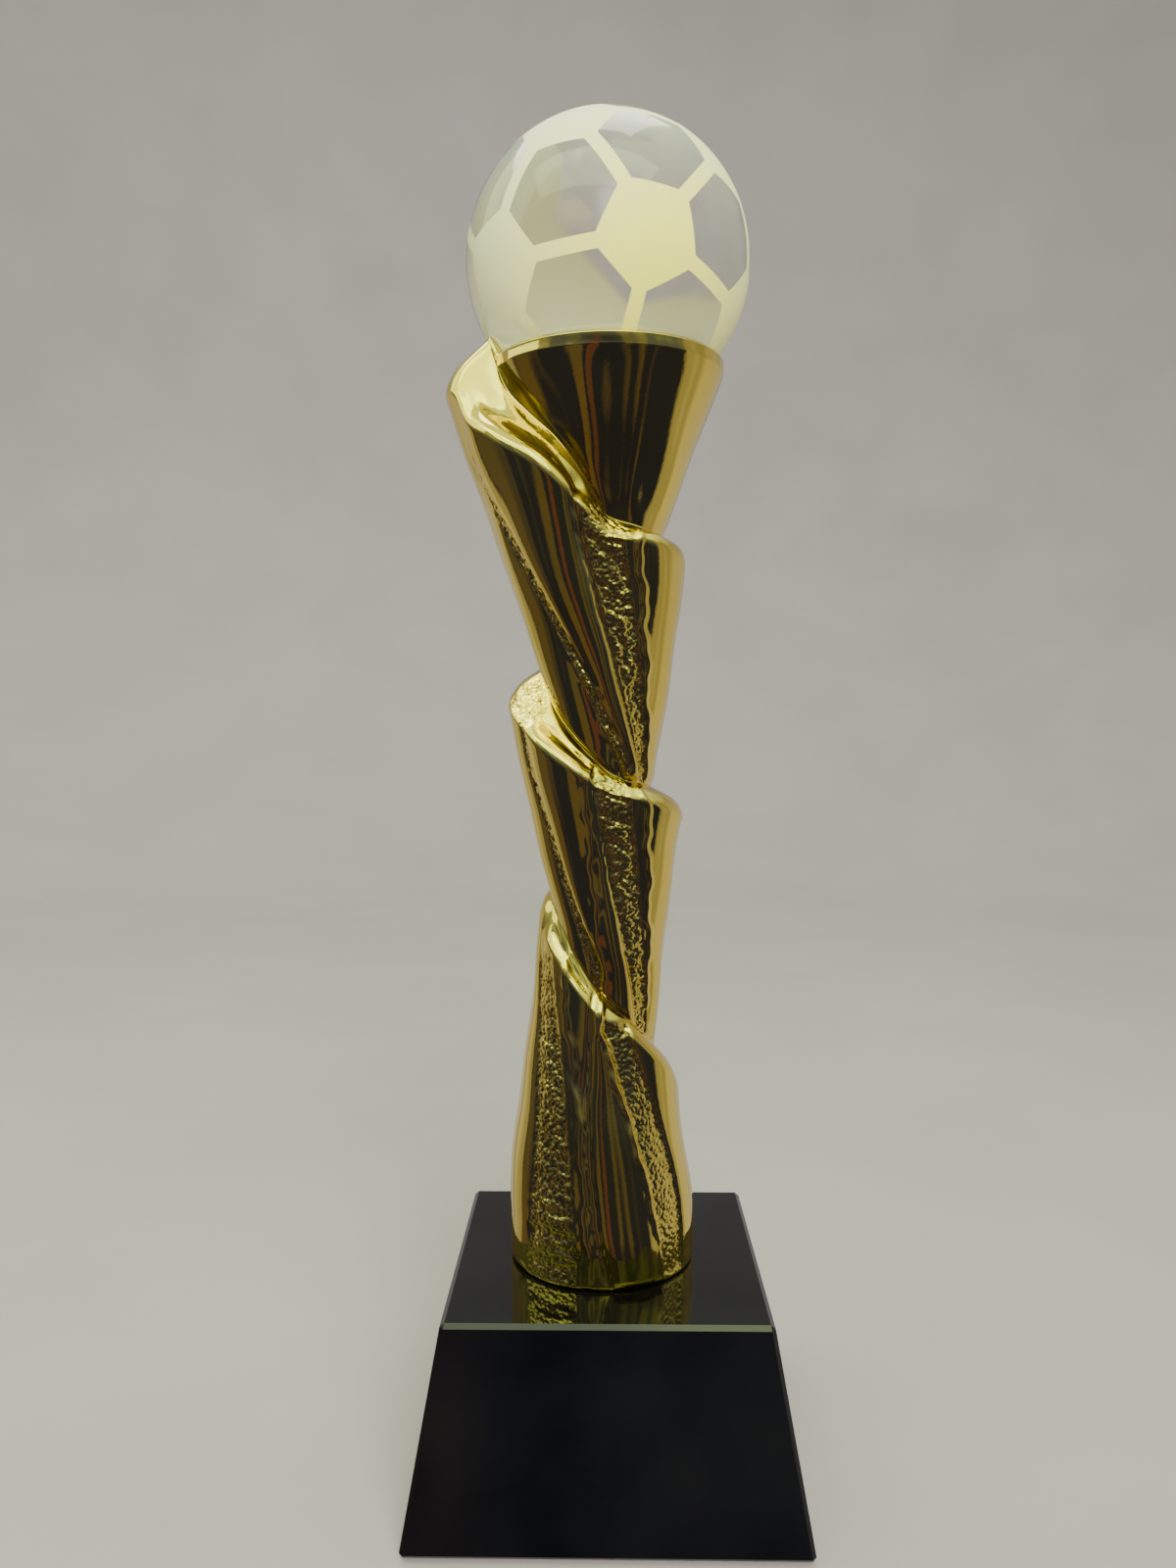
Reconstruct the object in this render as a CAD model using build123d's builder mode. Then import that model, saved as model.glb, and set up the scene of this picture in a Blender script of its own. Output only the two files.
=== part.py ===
from build123d import *
import os
from math import atan2, cos, degrees, radians, sin, sqrt

os.makedirs("parts", exist_ok=True)

# Column trophy, millimetres. Origin: centre of the underside, +Z up, front faces -Y.

# base block
base_height = 57.4
base_bottom_side = 107.0
base_top_side = 87.4
base_arris = 1.1
pad_thickness = 0.8
pad_inset = 4.0
pad_corner = 4.0
recess_depth = 18.0
recess_clearance = 1.5

# column
column_height = 257.2
gasket_thickness = 0.6
rim_radius = 32.7
rim_width = 3.2
well_radius = 17.0
floor_thickness = 6.0
hollow_radius = 8.0
foot_bore_radius = 16.0
foot_bore_depth = 14.0

# ball
ball_diameter = 80.0
glue_gap = 0.4
ball_to_rod_gap = 1.5

# fasteners, all following the thread size
thread = 6.0
hole_clearance = 0.4
washer_thickness = 1.6
rubber_thickness = 2.0
rod_stub = 2.0
split_gap = 1.2
rod_end_chamfer = 0.8
nut_height = thread * 5 / 6
nut_flats = thread * 5 / 3
washer_radius = thread
spring_radius = thread * 0.95
rubber_radius = thread * 1.5
recess_radius = rubber_radius + recess_clearance
hole_radius = thread / 2 + hole_clearance

# The wrap: one rolled ledge winding down the column, starting at the left of the cup.
# Each station: turn angle from the left, ledge height as a share of the column height,
# then the lip radius below the ledge and the waist radius above it as shares of the rim radius.
stations = [
    (-60, 1.02, 1.00, 1.00),
    (0, 1.00, 1.40, 1.00),
    (45, 0.90, 1.15, 0.72),
    (90, 0.82, 0.76, 0.52),
    (180, 0.79, 0.66, 0.47),
    (270, 0.73, 0.74, 0.50),
    (360, 0.65, 0.87, 0.53),
    (450, 0.55, 0.66, 0.44),
    (540, 0.505, 0.65, 0.38),
    (630, 0.45, 0.60, 0.42),
    (720, 0.40, 0.60, 0.49),
    (810, 0.29, 0.56, 0.47),
    (900, 0.20, 0.62, 0.42),
    (990, 0.11, 0.72, 0.64),
    (1080, 0.00, 0.89, 0.87),
    (1440, -0.30, 0.86, 0.70),
]
turn_step = 15
last_turn = 1080

# heights that follow from the sizes above
foot_z = base_height + gasket_thickness
block_height = base_height - pad_thickness
block_slope = degrees(atan2((base_bottom_side - base_top_side) / 2, block_height))
rim_z = foot_z + column_height
pad_side = base_bottom_side - 2 * pad_inset
seat_radius = rim_radius - rim_width
gasket_radius = rim_radius * stations[-1][3]
ball_radius = ball_diameter / 2
seat_sphere = ball_radius + glue_gap
ball_z = rim_z + sqrt(seat_sphere**2 - seat_radius**2)
rod_top = ball_z - ball_radius - ball_to_rod_gap
upper_nut_z = rod_top - rod_stub - nut_height
floor_z = upper_nut_z - washer_thickness
recess_z = pad_thickness + recess_depth
rubber_z = recess_z - rubber_thickness
lower_washer_z = rubber_z - washer_thickness
spring_z = lower_washer_z - washer_thickness
lower_nut_z = spring_z - nut_height
rod_bottom = lower_nut_z - rod_stub
ledge_round = 0.03 * column_height
ledge_shoulder = 0.75


def station(angle, column_index):
    for upper, lower in zip(stations, stations[1:]):
        if angle <= lower[0]:
            share = max(0.0, (angle - upper[0]) / (lower[0] - upper[0]))
            return upper[column_index] + share * (lower[column_index] - upper[column_index])
    return stations[-1][column_index]


def ledge_height(angle):
    return foot_z + column_height * station(angle, 1)


def wrap_radius(angle, height):
    # radius at a turn angle and height, between the ledge above and the ledge one turn below
    waist = rim_radius * station(angle + 360, 3)
    bottom = ledge_height(angle + 360)
    if angle <= stations[0][0]:
        cup_share = (height - bottom) / max(ledge_round, rim_z - bottom)
        return waist + (rim_radius - waist) * cup_share
    lip = rim_radius * station(angle, 2)
    depth = ledge_height(angle) - height
    rounding = ledge_shoulder + (1 - ledge_shoulder) * min(1.0, depth / ledge_round)
    taper = min(1.0, (height - bottom) / (ledge_height(angle) - ledge_round - bottom))
    return waist + (lip - waist) * rounding * taper


def wrap_points(angle, height):
    points = []
    for k in range(13):
        turn = angle - 360 + 30 * k
        radius = wrap_radius(turn, height)
        points.append((-radius * cos(radians(turn)), -radius * sin(radians(turn))))
    return points


# solid glass ball resting in the cup
with BuildPart() as crystal_ball:
    with Locations((0, 0, ball_z)):
        Sphere(ball_radius)

crystal_ball.part.label = "crystal_ball"
export_step(crystal_ball.part, "parts/crystal_ball.step")

# glue film between the ball and its seat
with BuildPart() as ball_adhesive:
    with BuildSketch(Plane.XZ):
        with Locations((0, ball_z)):
            Circle(seat_sphere)
            Circle(ball_radius, mode=Mode.SUBTRACT)
        with Locations((well_radius, 0)):
            Rectangle(seat_radius, rim_z, align=Align.MIN, mode=Mode.INTERSECT)
    revolve(axis=Axis.Z)

ball_adhesive.part.label = "ball_adhesive"
export_step(ball_adhesive.part, "parts/ball_adhesive.step")

# hollow cast column: cup, wrapped stem and foot in one piece
with BuildPart() as column:
    for turn in range(0, last_turn + 1, turn_step):
        with BuildSketch(Plane.XY.offset(ledge_height(turn))):
            with BuildLine():
                wall = Spline(*wrap_points(turn, ledge_height(turn)))
                Line(wall @ 1, wall @ 0)
            make_face()
    loft(ruled=True)
    with Locations((0, 0, ball_z)):
        Sphere(seat_sphere, mode=Mode.SUBTRACT)
    with BuildSketch(Plane.XY.offset(floor_z)):
        Circle(well_radius)
    extrude(amount=ball_z - floor_z, mode=Mode.SUBTRACT)
    with BuildSketch(Plane.XY.offset(foot_z)):
        Circle(hollow_radius)
    extrude(amount=floor_z - floor_thickness - foot_z, mode=Mode.SUBTRACT)
    with BuildSketch(Plane.XY.offset(foot_z)):
        Circle(foot_bore_radius)
    extrude(amount=foot_bore_depth, mode=Mode.SUBTRACT)
    with BuildSketch(Plane.XY.offset(foot_z)):
        Circle(hole_radius)
    extrude(amount=floor_z - foot_z, mode=Mode.SUBTRACT)

column.part.label = "column"
export_step(column.part, "parts/column.step")

# bush that centres the rod in the foot
with BuildPart() as foot_plug:
    with BuildSketch(Plane.XY.offset(foot_z)):
        Circle(foot_bore_radius)
        Circle(hole_radius, mode=Mode.SUBTRACT)
    extrude(amount=foot_bore_depth)

foot_plug.part.label = "foot_plug"
export_step(foot_plug.part, "parts/foot_plug.step")

# thin foam ring between the foot and the glass
with BuildPart() as foot_gasket:
    with BuildSketch(Plane.XY.offset(base_height)):
        Circle(gasket_radius)
        Circle(hole_radius, mode=Mode.SUBTRACT)
    extrude(amount=gasket_thickness)

foot_gasket.part.label = "foot_gasket"
export_step(foot_gasket.part, "parts/foot_gasket.step")

# tapered glass block with polished arrises, drilled and counterbored from below
with BuildPart() as crystal_base:
    with BuildSketch(Plane.XY.offset(pad_thickness)):
        Rectangle(base_bottom_side, base_bottom_side)
    extrude(amount=block_height, taper=block_slope)
    chamfer(crystal_base.edges(), length=base_arris)
    with BuildSketch(Plane.XY.offset(pad_thickness)):
        Circle(recess_radius)
    extrude(amount=recess_depth, mode=Mode.SUBTRACT)
    with BuildSketch(Plane.XY.offset(pad_thickness)):
        Circle(hole_radius)
    extrude(amount=block_height, mode=Mode.SUBTRACT)

crystal_base.part.label = "crystal_base"
export_step(crystal_base.part, "parts/crystal_base.step")

# tie rod from the recess up to the cup floor
with BuildPart() as tie_rod:
    with BuildSketch(Plane.XY.offset(rod_bottom)):
        Circle(thread / 2)
    extrude(amount=rod_top - rod_bottom)
    chamfer(tie_rod.edges().filter_by(GeomType.CIRCLE), length=rod_end_chamfer)

tie_rod.part.label = "tie_rod"
export_step(tie_rod.part, "parts/tie_rod.step")

# the two identical hex nuts, one on the cup floor and one in the recess
with BuildPart() as hex_nuts:
    for nut_z in (upper_nut_z, lower_nut_z):
        with BuildSketch(Plane.XY.offset(nut_z)):
            RegularPolygon(nut_flats / 2, 6, major_radius=False)
            Circle(thread / 2, mode=Mode.SUBTRACT)
        extrude(amount=nut_height)

hex_nuts.part.label = "hex_nuts"
export_step(hex_nuts.part, "parts/hex_nuts.step")

# the two identical flat washers
with BuildPart() as flat_washers:
    for washer_z in (floor_z, lower_washer_z):
        with BuildSketch(Plane.XY.offset(washer_z)):
            Circle(washer_radius)
            Circle(hole_radius, mode=Mode.SUBTRACT)
        extrude(amount=washer_thickness)

flat_washers.part.label = "flat_washers"
export_step(flat_washers.part, "parts/flat_washers.step")

# split spring washer under the lower nut
with BuildPart() as spring_washer:
    with BuildSketch(Plane.XY.offset(spring_z)):
        Circle(spring_radius)
        Circle(hole_radius, mode=Mode.SUBTRACT)
        Rectangle(spring_radius, split_gap, align=(Align.MIN, Align.CENTER), mode=Mode.SUBTRACT)
    extrude(amount=washer_thickness)

spring_washer.part.label = "spring_washer"
export_step(spring_washer.part, "parts/spring_washer.step")

# rubber cushion between the steel washer and the glass
with BuildPart() as rubber_washer:
    with BuildSketch(Plane.XY.offset(rubber_z)):
        Circle(rubber_radius)
        Circle(hole_radius, mode=Mode.SUBTRACT)
    extrude(amount=rubber_thickness)

rubber_washer.part.label = "rubber_washer"
export_step(rubber_washer.part, "parts/rubber_washer.step")

# protective pad glued over the underside
with BuildPart() as base_pad:
    with BuildSketch():
        RectangleRounded(pad_side, pad_side, pad_corner)
    extrude(amount=pad_thickness)

base_pad.part.label = "base_pad"
export_step(base_pad.part, "parts/base_pad.step")
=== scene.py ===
import itertools
import math
import bmesh
import bpy
import numpy as np
from mathutils import Matrix, Vector


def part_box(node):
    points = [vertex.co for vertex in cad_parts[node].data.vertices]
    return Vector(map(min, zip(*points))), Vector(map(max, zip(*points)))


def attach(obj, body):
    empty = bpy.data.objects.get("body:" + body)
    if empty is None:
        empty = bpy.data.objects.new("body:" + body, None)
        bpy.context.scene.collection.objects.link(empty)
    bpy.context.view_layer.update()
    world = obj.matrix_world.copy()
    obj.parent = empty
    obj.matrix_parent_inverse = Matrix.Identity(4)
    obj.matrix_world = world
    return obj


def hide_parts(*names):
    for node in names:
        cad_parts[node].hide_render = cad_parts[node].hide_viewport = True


# Column trophy. Its lengths are millimetres until new_mesh turns them into metres; the studio's are
# metres. The column's skin is one strip that winds down it. The turn angle is 0 at the left and 90 at
# the front, and goes on growing by 360 a turn, down to the foot. It is given in degrees.

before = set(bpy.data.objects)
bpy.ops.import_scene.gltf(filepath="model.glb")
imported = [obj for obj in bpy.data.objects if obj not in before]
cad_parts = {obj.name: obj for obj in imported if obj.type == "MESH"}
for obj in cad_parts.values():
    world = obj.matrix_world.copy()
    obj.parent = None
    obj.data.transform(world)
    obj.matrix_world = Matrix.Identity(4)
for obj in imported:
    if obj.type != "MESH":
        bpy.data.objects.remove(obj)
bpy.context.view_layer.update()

# ---------------------------------------------------------------- sizes
MM = 0.001
GLUE_GAP = 0.4                       # between the ball and its seat
WASHER_THICKNESS = 1.6
FLOOR_THICKNESS = 6.0                # of the cup, below the nut
WELL_RADIUS = 17.0
HOLE_RADIUS = 3.4                    # where the tie rod passes
HOLLOW_RADIUS = 8.0
BORE_RADIUS = 16.0                   # in the foot
RIM_ROLL = 0.9                       # how far the rounded rim rises
RIM_ROLL_TURN = 0.92                 # how much of half a circle it turns
SEAT_DROP = 0.2                      # from the rim down to the edge of the seat
SEAT_START = 0.12                    # first ring of the seat, as a share of the way to the well
SEAT_RINGS = 8
FOOT_EDGE = 1.2                      # width of the ring of faces under the foot's edge

# heights from the frame, rounded to a tenth of a millimetre
FOOT_Z = round(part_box("column")[0][2] / MM, 1)
BORE_TOP = round(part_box("foot_plug")[1][2] / MM, 1)

# sizes from the frame, as they are
FLOOR_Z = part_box("flat_washers")[1][2] / MM - WASHER_THICKNESS
BALL_LO, BALL_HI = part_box("crystal_ball")
BALL_RADIUS = (BALL_HI[2] - BALL_LO[2]) / 2 / MM
BALL_Z = (BALL_HI[2] + BALL_LO[2]) / 2 / MM
SEAT_RADIUS = BALL_RADIUS + GLUE_GAP

# grid of the wrap: columns follow the turn angle, rows run from one ledge down to the next
FIRST_ANGLE = -345
LAST_ANGLE = 1080
TURN = 192                           # columns in one turn
LIP_ROWS = 16
TAPER_ROWS = 98
ROWS = LIP_ROWS + TAPER_ROWS
COLUMNS = (LAST_ANGLE - FIRST_ANGLE) * TURN // 360 + 1
LIP_CROWDING = 1.25                  # above 1 the lip's rows lie closer together at the top
LONGEST_DROP = 0.45                  # of the lip, as a share of the way to the next ledge

# the last length flares out to the foot instead of narrowing evenly
FLARE_ANGLE = 660                    # where the flare begins to take over
FLARE_BLEND = 60                     # degrees over which it does
FLARE_END = 0.82                     # share of the way down at which it is complete
FLARE_SOFTNESS = 0.55                # share of it that eases in and out

# the rolled ledge: turn angle, its height, radius above it, lip radius, drop from there to the lip
LEDGE = np.array([
    (-345, 319.6, 34.2, 34.2, 3.0), (-338, 314.4, 32.7, 32.7, 3.0), (-80, 315.2, 32.7, 32.8, 3.0),
    (-55, 316.0, 32.7, 36.5, 6.0), (-30, 317.6, 33.0, 41.5, 10.0), (-8, 319.4, 33.8, 44.8, 13.0),
    (8, 320.4, 34.3, 45.4, 15.0), (15, 319.6, 34.2, 44.6, 15.0), (19, 313.0, 32.4, 43.4, 12.0),
    (25, 305.0, 30.0, 41.5, 10.0), (35, 299.0, 27.0, 38.0, 8.5), (55, 290.5, 24.0, 32.5, 8.5),
    (70, 281.5, 21.0, 28.0, 7.5), (80, 275.0, 18.6, 25.5, 7.0), (90, 270.0, 16.8, 24.0, 6.5),
    (120, 268.0, 15.8, 22.0, 5.5), (150, 266.5, 15.4, 21.5, 6.5), (180, 266.0, 15.4, 21.5, 7.5),
    (270, 248.0, 16.0, 22.5, 8.0), (315, 238.0, 17.0, 25.5, 9.0), (345, 231.0, 17.2, 28.0, 10.0),
    (360, 229.5, 17.2, 28.0, 10.0), (370, 225.5, 17.0, 28.0, 8.0), (395, 216.0, 16.5, 25.5, 6.5),
    (415, 209.5, 16.0, 23.5, 6.0), (435, 204.0, 15.4, 22.0, 5.5), (455, 199.5, 14.9, 20.8, 5.0),
    (475, 197.5, 14.2, 20.4, 5.0), (500, 196.5, 13.2, 20.6, 7.0), (540, 195.5, 12.2, 21.0, 9.5),
    (630, 180.0, 14.0, 19.5, 8.0), (720, 164.0, 16.0, 19.2, 8.0), (755, 154.5, 15.2, 19.2, 5.4),
    (780, 145.0, 14.8, 18.8, 4.8), (805, 136.5, 14.8, 18.5, 4.6), (825, 132.0, 14.6, 18.3, 5.0),
    (840, 129.0, 14.0, 18.4, 6.0), (870, 123.5, 13.0, 19.2, 9.0), (900, 119.0, 13.0, 20.0, 13.0),
    (945, 108.0, 15.0, 21.0, 13.0), (990, 96.0, 19.0, 23.0, 11.0), (1035, 78.0, 23.5, 25.8, 8.0),
    (1080, 58.0, 28.0, 28.2, 3.0),
])
# turn angle and radius of the foot where it stands on its ring
FOOT = np.array([(720, 28.2), (765, 27.2), (810, 25.6), (855, 25.2), (900, 25.0), (990, 26.0), (1080, 28.2)])
# turn angle and roundness of the lip: 1 is a straight bevel, 2 about a quarter circle
LIP_POWER = np.array([
    (-360, 1.6), (-60, 2.0), (-20, 1.7), (0, 1.9), (25, 1.25), (70, 1.15), (100, 1.5), (130, 2.2),
    (180, 2.4), (270, 1.9), (350, 1.8), (375, 1.15), (440, 1.1), (470, 1.6), (540, 2.0), (640, 1.8),
    (720, 1.6), (745, 1.05), (800, 1.1), (830, 1.5), (1080, 1.6),
])
# turn angle and bend of the taper below the lip: 1 is straight, more is fuller at the top
TAPER_POWER = np.array([
    (-360, 1.0), (0, 1.02), (180, 1.12), (360, 1.05), (480, 0.95), (540, 0.72), (640, 0.9), (720, 1.0),
])

# Lines on the skin: height and turn angle of the upper end, the same of the lower end, and how many
# degrees the line bows onward halfway down. L2, L3 and L4 are the second to fourth lengths between
# ledges, from the top.
L2_PIT = (289, 17, 202, 102, -14)
L2_PIT_R = (289, 19, 202, 112, -14)
L2_PIT_LOW = (243, 50, 196, 116, -2)
L2_CREASE = (270, 71, 198, 130, -9)
L2_BAND_L = (268, 74, 198, 133, -9)
L2_BAND_R = (266, 99, 200, 140, -1)
L2_RIDGE = (264, 112, 198, 144, -3)
L2_BACK1 = (258, 205, 188, 245, -5)
L2_BACK2 = (255, 230, 184, 270, 0)
L2_BACK3 = (300, -40, 232, 0, -5)
L2_BACK4 = (236, 285, 178, 320, 0)
L2_BACK5 = (234, 305, 178, 335, 0)
L3_PIT = (214, 384, 145, 432, -10)
L3_PIT_R = (214, 386, 145, 444, -11)
L3_SHINE = (194, 435, 136, 450, -4)
L3_CREASE = (197, 439, 134, 483, -5)
L3_BAND_R = (194, 468, 128, 506, -2)
L3_RIDGE = (194, 481, 145, 498, 0)
L3_BACK1 = (188, 575, 112, 615, -3)
L3_BACK2 = (184, 600, 108, 650, 0)
L3_BACK3 = (222, 335, 165, 375, -3)
L3_BACK4 = (170, 650, 95, 680, 0)
L3_BACK5 = (165, 670, 95, 700, 0)
L4_BAND_L = (146, 733, 58, 753, 10)
L4_BAND_R = (146, 756, 58, 793, 8)
L4_RIDGE = (138, 770, 58, 798, 7)
L4_CREASE = (126, 797, 58, 812, -6)
L4_EDGE = (128, 805, 58, 848, 7)
L4_HOLLOW_R = (126, 832, 58, 870, 13)
L4_BACK1 = (108, 940, 58, 950, 0)
L4_BACK2 = (108, 970, 58, 980, 0)
L4_BACK3 = (160, 700, 58, 720, 0)
L4_BACK4 = (108, 1060, 58, 1070, 0)

# full cushions between two lines: left, right, height
LOBES = (
    (L2_PIT_R, L2_CREASE, 1.5), (L2_RIDGE, L2_BACK1, 0.9), (L2_BACK3, L2_PIT, 1.0),
    (L3_PIT_R, L3_CREASE, 1.3), (L3_RIDGE, L3_BACK1, 0.8), (L3_BACK3, L3_PIT, 0.7),
    (L4_CREASE, L4_EDGE, 1.3), (L4_HOLLOW_R, L4_BACK1, 0.9), (L4_BACK3, L4_BAND_L, 0.8),
    (L4_BACK2, L4_BACK4, 0.8),
)
# sharp creases along a line: line, depth, width
CREASES = (
    (L2_CREASE, 0.9, 0.5), (L2_BACK1, 0.9, 0.8), (L2_BACK2, 0.5, 0.6), (L2_BACK3, 0.8, 0.9),
    (L2_BACK4, 0.8, 0.7), (L3_CREASE, 0.9, 0.5), (L3_BACK1, 0.8, 0.8), (L3_BACK3, 0.8, 0.8),
    (L3_BACK4, 0.8, 0.7), (L4_CREASE, 0.9, 0.6), (L4_BACK3, 0.8, 0.8),
)
# round ridges along a line: line, height, width
RIDGES = (
    (L2_RIDGE, 0.7, 0.9), (L2_BACK5, 0.6, 0.9), (L3_SHINE, 0.35, 0.9), (L3_RIDGE, 0.6, 0.8),
    (L3_BACK5, 0.6, 0.9), (L4_RIDGE, 0.55, 0.9), (L4_EDGE, 1.0, 0.7),
)
# hammered strips: left, right, how far they are sunk, height of the pebbles, pebble pitch
BANDS = (
    (L2_PIT, L2_PIT_R, 0.35, 0.7, 1.3), (L2_BAND_L, L2_BAND_R, 0.9, 1.0, 2.0),
    (L2_BACK1, L2_BACK2, 0.8, 1.0, 2.0), (L2_BACK4, L2_BACK5, 0.8, 1.0, 2.0),
    (L3_BACK4, L3_BACK5, 0.8, 1.0, 2.0), (L3_PIT, L3_PIT_R, 0.35, 0.6, 1.3),
    (L3_CREASE, L3_BAND_R, 0.8, 1.0, 1.9), (L3_BACK1, L3_BACK2, 0.8, 1.0, 2.0),
    (L4_BAND_L, L4_BAND_R, 0.7, 0.9, 2.1), (L4_EDGE, L4_HOLLOW_R, 1.1, 0.4, 2.0),
    (L4_BACK1, L4_BACK2, 0.8, 1.0, 2.0),
)
# soft flutes down the smooth cup: turn angle, width in degrees, height
FLUTES = (
    (-330, 14, 0.25), (-302, 9, -0.22), (-283, 7, 0.25), (-268, 6, -0.28), (-252, 9, 0.2),
    (-238, 7, -0.2), (-215, 12, 0.22), (-180, 10, -0.2), (-140, 16, 0.25), (-95, 12, -0.2),
)
# channels along the top of the ledge: first and last turn angle, depth
CHANNELS = ((22, 72, 1.3), (390, 436, 1.0), (745, 790, 0.5))
# hammered stretches of the ledge: first and last turn angle
LEDGE_PATCHES = ((80, 106), (363, 384))
# slow hand-modelled unevenness: waves per turn, waves per millimetre of height, size, phase
UNEVENNESS = ((3, 0.035, 0.14, 0.4), (5, 0.02, 0.08, 2.1), (8, 0.03, 0.03, 4.0))

# side-to-side wander of a hand-cut line: size, radians per millimetre of height, multiple of the phase
WAVER = ((0.5, 0.35, 1), (0.25, 0.9, 2))
CREASE_WAVER = 0.4                   # creases wander less than ridges
BAND_FADE = 3.0                      # how far a band fades out above its upper end
BAND_SEED = 5
# a ridge along L2_PIT_LOW: full below the first of these heights and gone above the second
LOW_RIDGE_FADE = (226, 238)
LOW_RIDGE_HEIGHT = 1.1
LOW_RIDGE_WIDTH = 1.1
# the cup's flutes end at this turn angle, and fade out above the next ledge and below the rim
FLUTE_LAST_ANGLE = 15
FLUTE_TOP = 316
FLUTE_TOP_FADE = (2, 10)
FLUTE_END_FADE = 8
# channels and hammered stretches run along the lip. Fades are in degrees of turn, and places, widths
# and spans are shares of the way down the lip.
CHANNEL_FADE = 6
CHANNEL_CENTRE = 0.45
CHANNEL_WIDTH = 0.2
PATCH_FADE = 4
PATCH_SPAN = (0.15, 0.9)
PATCH_SPAN_FADE = 0.1
PATCH_LIP = 9                        # millimetres that the lip counts for when it is hammered
PATCH_HEIGHT = 1.0
PATCH_PITCH = 1.3
PATCH_SUNK = 0.4
PATCH_SEED = 900
# lines, bands and flutes fade out in the lip above and just over the ledge below
RELIEF_END_FADE = 2.2
RELIEF_LIP_FADE = (0.05, 0.55)
UNEVENNESS_END_FADE = 5
UNEVENNESS_LIP_FADE = (0.1, 1)
# one pebble: side-to-side scatter and reach in pitches, and the lowest height
PEBBLE_SCATTER = 0.42
PEBBLE_REACH = 0.72
LOWEST_PEBBLE = 0.45

# ball
BALL_TURN = (141, -64, -2)           # degrees about X, then Y, then Z
SEAM = 1.95                          # half the frosted seam between two windows
PENTAGON_REACH = 0.9                 # how far a frosted pentagon reaches into its windows
BALL_CUTS = 9                        # cuts in each edge of the pattern, to make it round
PENTAGONS = 12
NEIGHBOUR_COSINE = 0.4               # neighbouring pentagons' directions have a cosine above this
CLEAR, FROSTED = 0, 1                # material slots of the ball


# ---------------------------------------------------------------- curves
def smooth_curve(x, table, column=1):
    """Monotone cubic through the stations of a table."""
    xs, ys = table[:, 0], table[:, column]
    gap = np.diff(xs)
    slope = np.diff(ys) / gap
    tangent = np.zeros_like(ys)
    before, after = 2 * gap[1:] + gap[:-1], gap[1:] + 2 * gap[:-1]
    same = slope[:-1] * slope[1:] > 0
    first, second = np.where(same, slope[:-1], 1), np.where(same, slope[1:], 1)
    tangent[1:-1] = np.where(same, (before + after) / (before / first + after / second), 0)
    tangent[0], tangent[-1] = slope[0], slope[-1]
    x = np.clip(np.asarray(x, float), xs[0], xs[-1])
    k = np.clip(np.searchsorted(xs, x, side="right") - 1, 0, len(xs) - 2)
    t = (x - xs[k]) / gap[k]
    return (ys[k] * (1 + 2 * t) * (1 - t) ** 2 + tangent[k] * gap[k] * t * (1 - t) ** 2
            + ys[k + 1] * t * t * (3 - 2 * t) + tangent[k + 1] * gap[k] * t * t * (t - 1))


def step(x, low, high):
    """Smooth step from 0 at low to 1 at high."""
    t = np.clip((x - low) / (high - low), 0, 1)
    return t * t * (3 - 2 * t)


def plateau(x, first, last, soft):
    """1 between first and last, fading to 0 over soft on either side of each."""
    return step(x, first - soft, first + soft) * (1 - step(x, last - soft, last + soft))


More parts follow.
